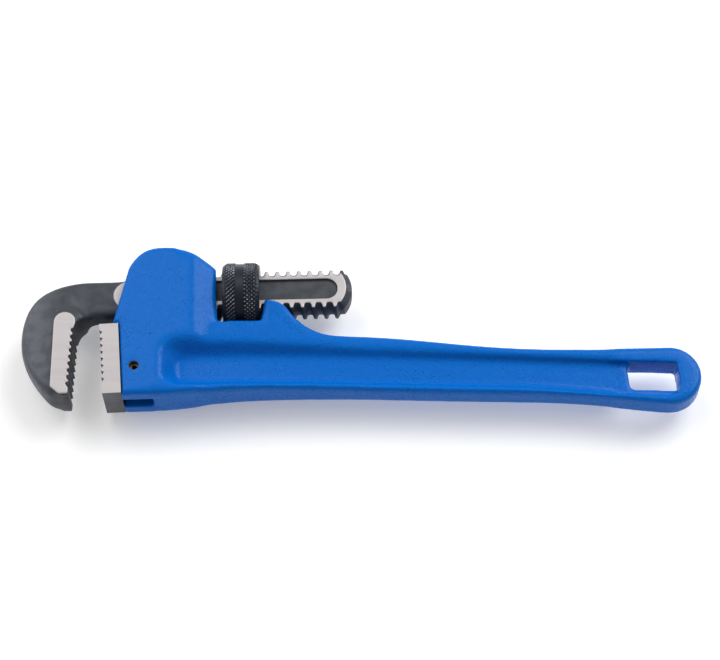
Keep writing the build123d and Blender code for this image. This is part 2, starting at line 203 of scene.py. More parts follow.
def place_corners(piece: bpy.types.Object, points: np.ndarray) -> None:
    """Move a piece's vertices to new places."""
    piece.data.vertices.foreach_set("co", points.astype(np.float32).ravel())
    piece.data.update()


def soften(piece: bpy.types.Object, weights: np.ndarray, turns: int) -> None:
    """Round a piece's edges and corners where the weights say.

    Args:
        piece: the piece to smooth.
        weights: one number from 0 to 1 for each vertex.
        turns: how many times the smoothing is repeated.
    """
    group = piece.vertex_groups.new(name="soft")
    steps = np.rint(np.clip(weights, 0, 1) * SOFT_LEVELS).astype(int)
    for level in range(1, SOFT_LEVELS + 1):
        group.add(np.flatnonzero(steps == level).tolist(), level / SOFT_LEVELS, "REPLACE")
    apply_modifier(piece, "SMOOTH", factor=0.5, iterations=turns, vertex_group=group.name)
    piece.vertex_groups.clear()


def keep_in_box(piece: bpy.types.Object, node: str) -> None:
    """Hold a piece's vertices inside the box of the CAD node that it stands for."""
    low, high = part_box(node)
    place_corners(piece, np.clip(corners(piece), np.array(low), np.array(high)))


def select_faces(piece: bpy.types.Object, wanted: Callable[[bpy.types.MeshPolygon], bool]) -> None:
    """Select the faces of a piece that pass a test, in object mode."""
    for vertex in piece.data.vertices:
        vertex.select = False
    for edge in piece.data.edges:
        edge.select = False
    for face in piece.data.polygons:
        face.select = wanted(face)


def smooth_step(values: np.ndarray, low: float, high: float) -> np.ndarray:
    """Rise smoothly from 0 at low to 1 at high."""
    t = np.clip((values - low) / (high - low), 0, 1)
    return t * t * (3 - 2 * t)


# -------- finishes


class Graph:
    """A node tree under construction.

    Args:
        tree: the material's or the group's node tree.
    """

    def __init__(self, tree: bpy.types.NodeTree) -> None:
        """Start on an empty tree."""
        self.tree = tree

    def add(self, kind: str, inputs: dict, **settings: object) -> bpy.types.Node:
        """Add a node.

        Args:
            kind: the node's type, without its "ShaderNode" prefix.
            inputs: socket name or index to a value or to a socket to link.
            settings: the node's properties.

        Returns:
            The new node.
        """
        node = self.tree.nodes.new("ShaderNode" + kind)
        for name, value in settings.items():
            setattr(node, name, value)
        return self.fill(node, inputs)

    def fill(self, node: bpy.types.Node, inputs: dict) -> bpy.types.Node:
        """Set or link a node's inputs and return the node."""
        for name, value in inputs.items():
            if isinstance(value, bpy.types.NodeSocket):
                self.tree.links.new(value, node.inputs[name])
            else:
                node.inputs[name].default_value = value
        return node

    def math(self, operation: str, a: object, b: object = 0.0) -> bpy.types.NodeSocket:
        """Combine two values."""
        return self.add("Math", {0: a, 1: b}, operation=operation).outputs[0]

    def ramp(self, value: object, low: float, high: float) -> bpy.types.NodeSocket:
        """Rise smoothly from 0 at low to 1 at high."""
        inputs = {"Value": value, "From Min": low, "From Max": high}
        return self.add("MapRange", inputs, interpolation_type="SMOOTHSTEP").outputs[0]

    def mix(self, share: object, a: object, b: object) -> bpy.types.NodeSocket:
        """Mix two values."""
        return self.add("Mix", {0: share, 2: a, 3: b}, data_type="FLOAT").outputs[0]

    def blend(self, share: object, a: object, b: object) -> bpy.types.NodeSocket:
        """Mix two colours."""
        return self.add("Mix", {0: share, 6: a, 7: b}, data_type="RGBA").outputs[2]

    def noise(self, vector: object, scale: object, detail: float = 2.0) -> bpy.types.NodeSocket:
        """Give soft noise from 0 to 1, with scale in waves per metre."""
        inputs = {"Vector": vector, "Scale": scale, "Detail": detail}
        return self.add("TexNoise", inputs).outputs["Fac"]

    def group(self, tree: bpy.types.NodeTree, inputs: dict) -> bpy.types.Node:
        """Place a shared effect with its own values."""
        node = self.tree.nodes.new("ShaderNodeGroup")
        node.node_tree = tree
        return self.fill(node, inputs)


def new_group(name: str, inputs: dict, outputs: tuple) -> tuple:
    """Make a shared effect's empty node group.

    Args:
        name: the group's name.
        inputs: socket name to its default value, or None for a vector.
        outputs: names of the value sockets that it puts out.

    Returns:
        The tree, its graph, its input node and its output node.
    """
    tree = bpy.data.node_groups.new(name, "ShaderNodeTree")
    for socket, default in inputs.items():
        kind = "NodeSocketVector" if default is None else "NodeSocketFloat"
        made = tree.interface.new_socket(name=socket, in_out="INPUT", socket_type=kind)
        if default is not None:
            made.default_value = default
    for socket in outputs:
        tree.interface.new_socket(name=socket, in_out="OUTPUT", socket_type="NodeSocketFloat")
    source = tree.nodes.new("NodeGroupInput")
    target = tree.nodes.new("NodeGroupOutput")
    return tree, Graph(tree), source, target


def cast_skin() -> bpy.types.NodeTree:
    """Build a casting's or forging's skin: broad ripple, and finer grain that comes in patches."""
    inputs = {"Vector": None, "Ripple": 350.0, "Grain": 1500.0, "Grain Share": 0.5}
    tree, graph, source, target = new_group("cast_skin", inputs, ("Height", "Patches"))
    where, waves, grain_waves, grain_share = (source.outputs[name] for name in inputs)
    patches_per_ripple = 0.35
    grain_off_patches = 0.35
    ripple = graph.noise(where, waves, 1.0)
    grain = graph.ramp(graph.noise(where, grain_waves, 3.0), 0.52, 0.72)
    patch_waves = graph.math("MULTIPLY", waves, patches_per_ripple)
    patches = graph.ramp(graph.noise(where, patch_waves, 2.0), 0.4, 0.66)
    share = graph.math("MULTIPLY", grain_share, graph.mix(patches, grain_off_patches, 1.0))
    tree.links.new(graph.mix(share, ripple, grain), target.inputs["Height"])
    tree.links.new(patches, target.inputs["Patches"])
    return tree


def grinding_lines() -> bpy.types.NodeTree:
    """Build the lines that a surface grinder leaves, as height and as streaks of tone."""
    inputs = {"Vector": None, "Lines": 4200.0, "Turn": 0.0}
    tree, graph, source, target = new_group("grinding_lines", inputs, ("Height", "Streaks"))
    where, waves, turn = (source.outputs[name] for name in inputs)
    drawn_out = (0.03, 1.0, 0.3)
    streaks_per_line = 0.12
    rotation = {"Vector": where, "Angle": turn}
    turned = graph.add("VectorRotate", rotation, rotation_type="Z_AXIS").outputs[0]
    stretch = graph.add("Mapping", {"Vector": turned, "Scale": drawn_out}).outputs[0]
    fine = graph.noise(stretch, waves, 2.0)
    broad = graph.noise(stretch, graph.math("MULTIPLY", waves, streaks_per_line), 3.0)
    tree.links.new(fine, target.inputs["Height"])
    tree.links.new(graph.ramp(broad, 0.3, 0.7), target.inputs["Streaks"])
    return tree


def edge_wear() -> bpy.types.NodeTree:
    """Build a mask of the edges that handling rubs, broken up by noise."""
    inputs = {"Vector": None, "Start": 0.53, "End": 0.6}
    tree, graph, source, target = new_group("edge_wear", inputs, ("Mask",))
    where, start, end = (source.outputs[name] for name in inputs)
    noise_waves = 600.0
    noise_share = 0.06
    pointed = tree.nodes.new("ShaderNodeNewGeometry").outputs["Pointiness"]
    broken = graph.math("SUBTRACT", graph.noise(where, noise_waves, 3.0), 0.5)
    rough = graph.math("ADD", pointed, graph.math("MULTIPLY", broken, noise_share))
    limits = {"Value": rough, "From Min": start, "From Max": end}
    tree.links.new(graph.add("MapRange", limits).outputs[0], target.inputs["Mask"])
    return tree


@dataclass
class SharedEffects:
    """The effects that several finishes use, each built once."""

    skin: bpy.types.NodeTree = field(default_factory=cast_skin)
    grinding: bpy.types.NodeTree = field(default_factory=grinding_lines)
    wear: bpy.types.NodeTree = field(default_factory=edge_wear)


def start_material(name: str) -> tuple:
    """Start a material.

    Args:
        name: the finish's name.

    Returns:
        The material, its graph, its shader and the object coordinates.
    """
    material = bpy.data.materials.new(name)
    material.use_nodes = True
    graph = Graph(material.node_tree)
    shader = material.node_tree.nodes["Principled BSDF"]
    where = material.node_tree.nodes.new("ShaderNodeTexCoord").outputs["Object"]
    return material, graph, shader, where


def set_bump(graph: Graph, shader: bpy.types.Node, height: object, depth: float) -> None:
    """Drive a shader's normal from a height that is depth metres deep."""
    bump = graph.add("Bump", {"Height": height, "Distance": depth, "Strength": 1.0})
    graph.tree.links.new(bump.outputs[0], shader.inputs["Normal"])


def distance(graph: Graph, first: object, second: object, centre: tuple) -> object:
    """Give the distance from a centre in the plane of two coordinates, as a socket."""
    offset = {
        0: graph.math("SUBTRACT", first, centre[0]),
        1: graph.math("SUBTRACT", second, centre[1]),
    }
    flat = graph.add("CombineXYZ", offset).outputs[0]
    return graph.add("VectorMath", {0: flat}, operation="LENGTH").outputs["Value"]


def from_middle(graph: Graph, where: object, datum: Datum) -> tuple:
    """Give x and the distance from the wrench's middle plane, as sockets."""
    axes = graph.add("SeparateXYZ", {0: where}).outputs
    return axes[0], graph.math("ABSOLUTE", graph.math("SUBTRACT", axes[2], datum.z))


@dataclass(frozen=True)
class BlueEnamel:
    """Glossy stoving enamel over the casting, rubbed off round the pin's hole.

    Args:
        base: the enamel's colour.
        thin: its colour where it lies thin, in patches and on edges.
        bare: the colour of the casting under it.
        patch_share: how far the patches turn to the thin colour.
        edge_share: how far the worn edges do.
        rubbed_radius: distance from the pin's axis at which the enamel is whole.
        rubbed_fade: width over which it comes back.
        ragged: how far noise moves that border.
        gloss: roughness off the patches and on them.
        bare_roughness: roughness of the bare casting.
        specular: level of the enamel's own reflection.
        coat: weight and roughness of the clear coat.
        depth: depth of the casting's skin, in metres.
    """

    base: tuple = (0.0, 0.13, 0.535, 1.0)
    thin: tuple = (0.001, 0.165, 0.62, 1.0)
    bare: tuple = (0.09, 0.045, 0.022, 1.0)
    patch_share: float = 0.2
    edge_share: float = 0.35
    rubbed_radius: float = 1.95 * MM
    rubbed_fade: float = 0.2 * MM
    ragged: float = 0.5 * MM
    gloss: tuple = (0.26, 0.32)
    bare_roughness: float = 0.7
    specular: float = 0.05
    coat: tuple = (0.16, 0.14)
    depth: float = 0.26 * MM

    def rubbed_off(self, graph: Graph, where: object) -> bpy.types.NodeSocket:
        """Mask the ragged patch round the pin's hole where the enamel is gone."""
        low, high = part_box("heel_jaw_pin")
        centre = (low + high) / 2
        axes = graph.add("SeparateXYZ", {0: where}).outputs
        away = distance(graph, axes[0], axes[1], centre)
        rim = graph.math("SUBTRACT", graph.noise(where, 1800.0), 0.5)
        away = graph.math("ADD", away, graph.math("MULTIPLY", rim, self.ragged))
        whole = graph.ramp(away, self.rubbed_radius - self.rubbed_fade, self.rubbed_radius)
        return graph.math("SUBTRACT", 1.0, whole)

    def make(self, effects: SharedEffects) -> bpy.types.Material:
        """Build the material from the shared effects and return it."""
        material, graph, shader, where = start_material("blue_enamel")
        cast = {"Vector": where, "Ripple": 420.0, "Grain": 1500.0, "Grain Share": 0.75}
        skin = graph.group(effects.skin, cast)
        worn = graph.group(effects.wear, {"Vector": where, "Start": 0.52, "End": 0.62})
        thinned = graph.math("MULTIPLY", skin.outputs["Patches"], self.patch_share)
        tone = graph.blend(thinned, self.base, self.thin)
        lighter = graph.math("MULTIPLY", worn.outputs["Mask"], self.edge_share)
        tone = graph.blend(lighter, tone, self.thin)
        rubbed = self.rubbed_off(graph, where)
        gloss = graph.mix(skin.outputs["Patches"], *self.gloss)
        coat_weight, coat_roughness = self.coat
        graph.fill(shader, {
            "Base Color": graph.blend(rubbed, tone, self.bare),
            "Roughness": graph.mix(rubbed, gloss, self.bare_roughness),
            "Specular IOR Level": self.specular,
            "Coat Roughness": coat_roughness,
            "Coat Weight": graph.mix(rubbed, coat_weight, 0.0),
        })
        set_bump(graph, shader, skin.outputs["Height"], self.depth)
        return material


@dataclass(frozen=True)
class GroundAndForged:
    """A dark forging whose outermost flats are ground bright.

    Args:
        name: the material's name.
        pads_from: distance of the ground pads' faces from the middle plane.
        rims_from: distance of the shank's ground rims, or None where there are none.
        rims_start: x from the datum where the rims start, in millimetres.
        rubbed: x from the datum where the painted light is full, and where it ends, or None; the
            forging is drawn lighter towards low x.
        dark: the forging's colour.
        deep: its colour in the skin's patches.
        painted_light: the forging's colour under the painted light, lighter where light falls on
            the hook's leg.
        worn: its colour on worn edges.
        worn_share: how far those edges turn to it.
        bright: the ground steel's colour.
        streaked: its colour in the grinder's streaks.
        border: width over which ground steel turns to forging.
        metallic: how metallic the forging and the ground steel are.
        satin: roughness of the ground steel, off the streaks and on them.
        dull: roughness of the forging, off the patches and on them.
        line_share: depth of the grinding lines, as a share of depth.
        depth: depth of the forging's skin, in metres.
    """

    name: str
    pads_from: float
    rims_from: float | None = None
    rims_start: float = -47.2
    rubbed: tuple | None = None
    dark: tuple = (0.046, 0.052, 0.063, 1.0)
    deep: tuple = (0.039, 0.045, 0.054, 1.0)
    painted_light: tuple = (0.1, 0.107, 0.127, 1.0)
    worn: tuple = (0.16, 0.165, 0.18, 1.0)
    worn_share: float = 0.45
    bright: tuple = (0.45, 0.42, 0.425, 1.0)
    streaked: tuple = (0.49, 0.46, 0.465, 1.0)
    border: float = 0.05 * MM
    metallic: tuple = (0.35, 0.55)
    satin: tuple = (0.46, 0.52)
    dull: tuple = (0.46, 0.58)
    line_share: float = 0.15
    depth: float = 0.11 * MM

    def ground_mask(self, graph: Graph, x: object, out: object, datum: Datum) -> object:
        """Mask the ground steel: the pads, and the shank's rims where there are any."""
        ground = graph.ramp(out, self.pads_from, self.pads_from + self.border)
        if self.rims_from is None:
            return ground
        level = graph.ramp(out, self.rims_from, self.rims_from + self.border)
        start = datum.x + self.rims_start * MM
        rims = graph.math("MULTIPLY", level, graph.ramp(x, start, start + self.border))
        return graph.math("MAXIMUM", ground, rims)

    def make(self, effects: SharedEffects, datum: Datum) -> bpy.types.Material:
        """Build the material, laid out from the datum, and return it."""
        material, graph, shader, where = start_material(self.name)
        x, out = from_middle(graph, where, datum)
        ground = self.ground_mask(graph, x, out, datum)
        forged_skin = {"Vector": where, "Ripple": 600.0, "Grain": 2600.0, "Grain Share": 0.6}
        skin = graph.group(effects.skin, forged_skin)
        lines = graph.group(effects.grinding, {"Vector": where, "Turn": math.radians(4.0)})
        worn = graph.group(effects.wear, {"Vector": where, "Start": 0.54, "End": 0.66})
        forged = graph.blend(skin.outputs["Patches"], self.dark, self.deep)
        # Painted light: the forging is drawn lighter towards low x, where light falls on the hook's
        # leg and its curve; the skin's patches break it up.
        if self.rubbed is not None:
            full, none = (datum.x + limit * MM for limit in self.rubbed)
            painted_light = graph.math("SUBTRACT", 1.0, graph.ramp(x, full, none))
            painted_light = graph.math("MULTIPLY", painted_light, graph.mix(skin.outputs["Patches"], 0.95, 0.8))
            forged = graph.blend(painted_light, forged, self.painted_light)
        edges = graph.math("MULTIPLY", worn.outputs["Mask"], self.worn_share)
        forged = graph.blend(edges, forged, self.worn)
        steel = graph.blend(lines.outputs["Streaks"], self.bright, self.streaked)
        satin = graph.mix(lines.outputs["Streaks"], *self.satin)
        dull = graph.mix(skin.outputs["Patches"], *self.dull)
        graph.fill(shader, {
            "Base Color": graph.blend(ground, forged, steel),
            "Metallic": graph.mix(ground, *self.metallic),
            "Roughness": graph.mix(ground, dull, satin),
        })
        scored = graph.math("MULTIPLY", lines.outputs["Height"], self.line_share)
        height = graph.mix(ground, skin.outputs["Height"], scored)
        set_bump(graph, shader, height, self.depth)
        return material


@dataclass(frozen=True)
class BlackOxide:
    """Oiled black oxide, rubbed brighter on the knurl's tips.

    Args:
        base: the oxide's colour.
        rubbed: its colour on the tips.
        tips_from: distance from the nut's axis where the tips start.
        tips_fade: height over which they turn fully bright.
        tip_share: how far the tips are rubbed, off the skin's patches and on them.
        roughness: of the oxide and of the tips.
        metallic: how metallic it is.
        depth: depth of the skin, in metres.
    """

    base: tuple = (0.029, 0.033, 0.042, 1.0)
    rubbed: tuple = (0.25, 0.265, 0.3, 1.0)
    tips_from: float = 12.25 * MM
    tips_fade: float = 0.2 * MM
    tip_share: tuple = (0.35, 0.8)
    roughness: tuple = (0.34, 0.28)
    metallic: float = 0.75
    depth: float = 0.03 * MM

    def make(self, effects: SharedEffects, datum: Datum) -> bpy.types.Material:
        """Build the material, with its tips round the datum's axis, and return it."""
        material, graph, shader, where = start_material("black_oxide")
        axes = graph.add("SeparateXYZ", {0: where}).outputs
        radius = distance(graph, axes[1], axes[2], (datum.y, datum.z))
        tips = graph.ramp(radius, self.tips_from, self.tips_from + self.tips_fade)
        skin = graph.group(effects.skin, {"Vector": where, "Ripple": 900.0, "Grain": 3200.0})
        uneven = graph.mix(skin.outputs["Patches"], *self.tip_share)
        share = graph.math("MULTIPLY", tips, uneven)
        graph.fill(shader, {
            "Base Color": graph.blend(share, self.base, self.rubbed),
            "Roughness": graph.mix(share, *self.roughness),
            "Metallic": self.metallic,
        })
        set_bump(graph, shader, skin.outputs["Height"], self.depth)
        return material


@dataclass(frozen=True)
class SpringSteel:
    """Dull hardened spring steel with drawing marks.

    Args:
        base: the steel's colour.
        stained: its colour in the skin's patches.
        roughness: off the drawing marks and on them.
        metallic: how metallic it is.
        depth: depth of the marks, in metres.
    """

    base: tuple = (0.2, 0.2, 0.215, 1.0)
    stained: tuple = (0.1, 0.075, 0.06, 1.0)
    roughness: tuple = (0.36, 0.5)
    metallic: float = 0.9
    depth: float = 0.02 * MM

    def make(self, effects: SharedEffects) -> bpy.types.Material:
        """Build the material from the shared effects and return it."""
        material, graph, shader, where = start_material("spring_steel")
        skin = graph.group(effects.skin, {"Vector": where, "Ripple": 900.0, "Grain": 3800.0})
        lines = graph.group(effects.grinding, {"Vector": where, "Lines": 6000.0})
        graph.fill(shader, {
            "Base Color": graph.blend(skin.outputs["Patches"], self.base, self.stained),
            "Roughness": graph.mix(lines.outputs["Streaks"], *self.roughness),
            "Metallic": self.metallic,
        })
        set_bump(graph, shader, lines.outputs["Height"], self.depth)
        return material


# -------- sub-assemblies


@dataclass
class SubAssembly:
    """What every sub-assembly of the wrench is built from.

    Args:
        datum: where the wrench is laid out from, and the middle of the nut.
        effects: the shared effects.
    """

    datum: Datum
    effects: SharedEffects


@dataclass
class HandleCasting(SubAssembly):
    """The cast handle: its CAD shape with a casting's soft edges and blends.

    Args:
        voxel: the size of the casting's facets.
        all_over: turns of smoothing over the whole casting.
        blended: turns of smoothing on the shoulder and in the recess.
        shoulder: x span of the head's rear shoulder, in millimetres from the datum, as are
            the spans below.
        shoulder_fade: length over which the shoulder's smoothing fades out.
        shoulder_out: distances from the middle plane where it starts and is full.
        machined: x and y below which edges stay crisp, at the heel jaw's seat.
        machined_fade: lengths along x and y over which they turn crisp.
        machined_share: how much of the smoothing is kept off the crisp edges.
        recess_x: where the recess's smoothing starts, is full, is last full and ends.
        recess_y: heights where it is last full and ends.
        recess_out: distances from the middle plane where it starts and is full.
        recess_share: how strong it is.
    """

    voxel: float = 0.53 * MM
    all_over: int = 7
    blended: int = 70
    shoulder: tuple = (-22.0, -7.0)
    shoulder_fade: float = 3.0
    shoulder_out: tuple = (5.9, 6.6)
    machined: tuple = (-35.0, -12.0)
    machined_fade: tuple = (3.0, 2.0)
    machined_share: float = 0.8
    recess_x: tuple = (-34.0, -30.0, 132.0, 138.0)
    recess_y: tuple = (-18.5, -17.0)
    recess_out: tuple = (2.0, 2.5)
    recess_share: float = 0.6

    def build(self) -> bpy.types.Object:
        """Build the casting and return it."""
        casting = solid_copy("handle", "handle_casting")
        apply_modifier(casting, "REMESH", mode="VOXEL", voxel_size=self.voxel)
        at = self.datum.local(corners(casting))
        x, y, out = at[:, 0], at[:, 1], np.abs(at[:, 2])
        crisp = self.crisp_weight(x, y)
        soften(casting, 1 - self.machined_share * crisp, self.all_over)
        rounded = np.maximum(self.shoulder_weight(x, out), self.recess_weight(x, y, out))
        soften(casting, rounded * (1 - crisp), self.blended)
        keep_in_box(casting, "handle")
        pick(casting)
        bpy.ops.object.shade_smooth()
        return casting

    def crisp_weight(self, x: np.ndarray, y: np.ndarray) -> np.ndarray:
        """Weigh the heel jaw's seat, which is machined and keeps its edges."""
        (seat_x, seat_y), (fade_x, fade_y) = self.machined, self.machined_fade
        return smooth_step(-x, -seat_x, -seat_x + fade_x) * smooth_step(
            -y, -seat_y, -seat_y + fade_y
        )

    def shoulder_weight(self, x: np.ndarray, out: np.ndarray) -> np.ndarray:
        """Weigh the outer edges of the head's rear shoulder."""
        (start, end), fade = self.shoulder, self.shoulder_fade
        rising = smooth_step(out, *self.shoulder_out) * smooth_step(x, start - fade, start)
        return rising * (1 - smooth_step(x, end, end + fade))

    def recess_weight(self, x: np.ndarray, y: np.ndarray, out: np.ndarray) -> np.ndarray:
        """Weigh the recess between the flanges, where the casting's corners are most rounded."""
        start, full, last, end = self.recess_x
        inside = smooth_step(x, start, full) * (1 - smooth_step(x, last, end))
        below = 1 - smooth_step(y, *self.recess_y)
        return inside * below * smooth_step(out, *self.recess_out) * self.recess_share

    def dress(self, casting: bpy.types.Object) -> None:
        """Give the casting its enamel and its place in the tree."""
        casting.data.materials.append(BlueEnamel().make(self.effects))
        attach(casting, Body.ROOT.value)
        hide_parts("handle")


@dataclass
class HookForging(SubAssembly):
    """The forged hook jaw: soft blends on the forging, crisp pads, teeth and thread.

    Args:
        voxel: the size of the forging's facets.
        all_over: turns of smoothing over the whole forging.
        all_over_share: how strong that smoothing is.
        blended: turns of smoothing on the hook's own surfaces.
        neck_end: x past which the shank stays crisp, in millimetres from the datum, as are
            the sizes below.
        neck_fade: length before neck_end over which it turns crisp.
        pads_from: distance from the middle plane where the ground pads start.
        pads_fade: height below them over which edges turn crisp.
        teeth_at: x and y of the line of the teeth.
        teeth_lean: how far that line leans.
        teeth_fade: distances from that line where they start to be crisp and fully are.
        teeth_top: heights where they are last crisp and end.
        rims_out: distances from the middle plane where the shank's rims start and are full.
        rims_x: places along the shank where they start and are full.
        smooth_angle: edges sharper than this stay sharp.
    """

    voxel: float = 0.34 * MM
    all_over: int = 2
    all_over_share: float = 0.8
    blended: int = 320
    neck_end: float = -41.0
    neck_fade: float = 4.0
    pads_from: float = 7.2
    pads_fade: float = 0.25
    teeth_at: tuple = (-61.25, -16.0)
    teeth_lean: float = math.radians(-2.9)
    teeth_fade: tuple = (-2.2, -1.5)
    teeth_top: tuple = (-15.8, -14.6)
    rims_out: tuple = (4.82, 4.95)
    rims_x: tuple = (-49.0, -48.0)
    smooth_angle: float = math.radians(50)

    def build(self) -> bpy.types.Object:
        """Build the forging and return it."""
        forging = solid_copy("hook_jaw", "hook_forging")
        apply_modifier(forging, "REMESH", mode="VOXEL", voxel_size=self.voxel)
        at = self.datum.local(corners(forging))
        soften(forging, np.full(len(at), self.all_over_share), self.all_over)
        x, y, out = at[:, 0], at[:, 1], np.abs(at[:, 2])
        hook = 1 - smooth_step(x, self.neck_end - self.neck_fade, self.neck_end)
        off_pads = 1 - smooth_step(out, self.pads_from - self.pads_fade, self.pads_from)
        teeth = self.teeth_at[0] + (self.teeth_at[1] - y) * math.tan(self.teeth_lean)
        below_top = 1 - smooth_step(y, *self.teeth_top)
        near_teeth = smooth_step(x - teeth, *self.teeth_fade) * below_top
        on_rims = smooth_step(out, *self.rims_out) * smooth_step(x, *self.rims_x)
        soften(forging, hook * off_pads * (1 - near_teeth) * (1 - on_rims), self.blended)
        keep_in_box(forging, "hook_jaw")
        pick(forging)
        bpy.ops.object.shade_smooth_by_angle(angle=self.smooth_angle)
        return forging

    def dress(self, forging: bpy.types.Object) -> None:
        """Give the forging its finishes and its place in the tree."""
        finish = GroundAndForged(
            "hook_forged_and_ground",
            pads_from=7.5 * MM,
            rims_from=4.88 * MM,
            # painted light: the hook's leg is drawn lighter, from nothing at x -65 mm to full at
            # -77 mm from the datum
            rubbed=(-77.0, -65.0),
        )
        forging.data.materials.append(finish.make(self.effects, self.datum))
        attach(forging, Body.HOOK.value)
        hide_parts("hook_jaw")


@dataclass
class KnurledNut(SubAssembly):
    """The adjusting nut, with its diamond knurl cut in two bands.

    Args:
        radius: over the knurl, in millimetres, as are the other sizes.
        front: x of the front face.
        rear: x of the rear face.
        bevel: length and depth of the end bevels.
        bevel_parts: where along a bevel its rings stand.
        groove: x span of the groove between the two bands.
        groove_depth: its depth.
        groove_wall: length of its side walls.
        knurls: how many grooves of the knurl there are around the nut.
        steps_per_knurl: how many facets each of them has.
        knurl_lead: distance along the axis from one to the next.
        knurl_depth: their depth.
        knurl_flank: how steep their sides are.
        front_left: factor and addition that make the front band's left-hand grooves finer.
        knurl_inset: share of a bevel's length, from its end face, that stays plain.
        knurl_fade: length over which the knurl runs out at a band's ends.
        groove_margin: length beside the groove that stays plain.
        rim_margin: how far outside the bevels' foot the turned shell takes over.
        reach: how far from an end face its open rings lie.
        smooth_angle: edges sharper than this stay sharp.
    """

    radius: float = 12.5
    front: float = -6.7
    rear: float = 6.9
    bevel: tuple = (1.6, 1.1)
    groove: tuple = (-1.8, 1.2)
    groove_depth: float = 0.35
    groove_wall: float = 0.12
    bevel_parts: tuple = (0.12, 0.5, 0.8)
    knurls: int = 50
    steps_per_knurl: int = 9
    knurl_lead: float = 1.7
    knurl_depth: float = 0.5
    knurl_flank: float = 2.5
    front_left: tuple = (1.7, 0.1)
    knurl_inset: float = 0.45
    knurl_fade: float = 0.25
    groove_margin: float = 0.02
    rim_margin: float = 0.05
    reach: float = 2.0
    smooth_angle: float = math.radians(28)

    def profile(self) -> list:
        """Give the outside's profile as (x, radius) stations, in millimetres."""
        along, in_by = self.bevel
        step = self.knurl_lead / self.steps_per_knurl
        groove_start, groove_end = self.groove
        stations = []
        for part in self.bevel_parts:
            stations.append((self.front + along * part, self.radius - in_by * (1 - part)))
        band_ends = (
            (self.front + along, groove_start - self.groove_wall),
            (groove_end + self.groove_wall, self.rear - along),
        )
        for index, (start, end) in enumerate(band_ends):
            count = math.ceil((end - start) / step)
            for i in range(count + 1):
                stations.append((start + (end - start) * i / count, self.radius))
            if index == 0:
                low = self.radius - self.groove_depth
                for x in (groove_start, 0.5 * sum(self.groove), groove_end):
                    stations.append((x, low))
        for part in reversed(self.bevel_parts):
            stations.append((self.rear - along * part, self.radius - in_by * (1 - part)))
        return stations

    def turn_shell(self) -> bpy.types.Object:
        """Turn the outside from one ring, extruded from station to station, and return it."""
        stations = self.profile()
        bpy.ops.object.select_all(action="DESELECT")
        x, radius = stations[0]
        bpy.ops.mesh.primitive_circle_add(
            vertices=self.knurls * self.steps_per_knurl,
            radius=radius * MM,
            location=self.datum.at(x, 0),
            rotation=(0, math.pi / 2, 0),
        )
        shell = bpy.context.active_object
        bpy.ops.object.transform_apply(location=True, rotation=True, scale=True)
        with editing(shell):
            for (x0, r0), (x1, r1) in zip(stations, stations[1:]):
                move = {"value": ((x1 - x0) * MM, 0, 0)}
                bpy.ops.mesh.extrude_edges_move(TRANSFORM_OT_translate=move)
                if r1 != r0:
                    bpy.ops.transform.resize(
                        value=(1, r1 / r0, r1 / r0), center_override=self.datum.at(x1, 0)
                    )
        return shell

    def knurl(self, shell: bpy.types.Object) -> None:
        """Cut the crossed grooves of the knurl into the turned bands."""
        points = corners(shell)
        at = self.datum.local(points)
        x = at[:, 0]
        around = np.arctan2(at[:, 2], at[:, 1]) * self.knurls / (2 * math.pi)
        along = x / self.knurl_lead
        right = np.abs((around + along + 0.5) % 1 - 0.5)
        left = np.abs((around - along + 0.5) % 1 - 0.5)
        factor, addition = self.front_left
        second = np.where(x < 0, left * factor + addition, left)
        height = np.minimum(1, self.knurl_flank * np.minimum(right, second))
        radius = np.hypot(at[:, 1], at[:, 2])
        inset = self.bevel[0] * self.knurl_inset
        from_end = np.minimum(x - self.front - inset, self.rear - inset - x)
        from_groove = np.maximum(self.groove[0] - x, x - self.groove[1])
        share = smooth_step(from_end, 0, self.knurl_fade) * smooth_step(
            from_groove, self.groove_margin, self.knurl_fade
        )
        scale = (radius - share * (1 - height) * self.knurl_depth) / radius
        at[:, 1] *= scale
        at[:, 2] *= scale
        place_corners(shell, at * MM + np.array((self.datum.x, self.datum.y, self.datum.z)))

    def build(self) -> bpy.types.Object:
        """Build the nut from its own bore and thread and a knurled outside, and return it."""
        nut = solid_copy("adjusting_nut", "nut_knurled")
        inner = (self.radius - self.bevel[1] + self.rim_margin) * MM
        centre = Vector((self.datum.y, self.datum.z))
        select_faces(nut, lambda face: (Vector(face.center.yz) - centre).length > inner)
        with editing(nut, everything=False):
            bpy.ops.mesh.delete(type="FACE")
        shell = self.turn_shell()
        self.knurl(shell)
        pick(nut)
        shell.select_set(True)
        bpy.ops.object.join()
        for face in (self.front, self.rear):
            self.close_end(nut, self.datum.x + face * MM)
        face_outwards(nut)
        bpy.ops.object.shade_smooth_by_angle(angle=self.smooth_angle)
        keep_in_box(nut, "adjusting_nut")
        return nut

    def close_end(self, nut: bpy.types.Object, x: float) -> None:
        """Bridge the two open rings near one end face.

        Args:
            nut: the joined nut.
            x: the end face's place along the axis.
        """
        with editing(nut, everything=False):
            bpy.ops.mesh.select_mode(type="EDGE")
            bpy.ops.mesh.select_all(action="DESELECT")
            bpy.ops.mesh.select_non_manifold()
        for edge in nut.data.edges:
            ends = [nut.data.vertices[i].co.x for i in edge.vertices]
            edge.select = edge.select and all(abs(end - x) < self.reach * MM for end in ends)
        with editing(nut, everything=False):
            bpy.ops.mesh.bridge_edge_loops()

    def dress(self, nut: bpy.types.Object) -> None:
        """Give the nut its finish and its place in the tree."""
        nut.data.materials.clear()
        nut.data.materials.append(BlackOxide().make(self.effects, self.datum))
        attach(nut, Body.NUT.value)
        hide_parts("adjusting_nut")


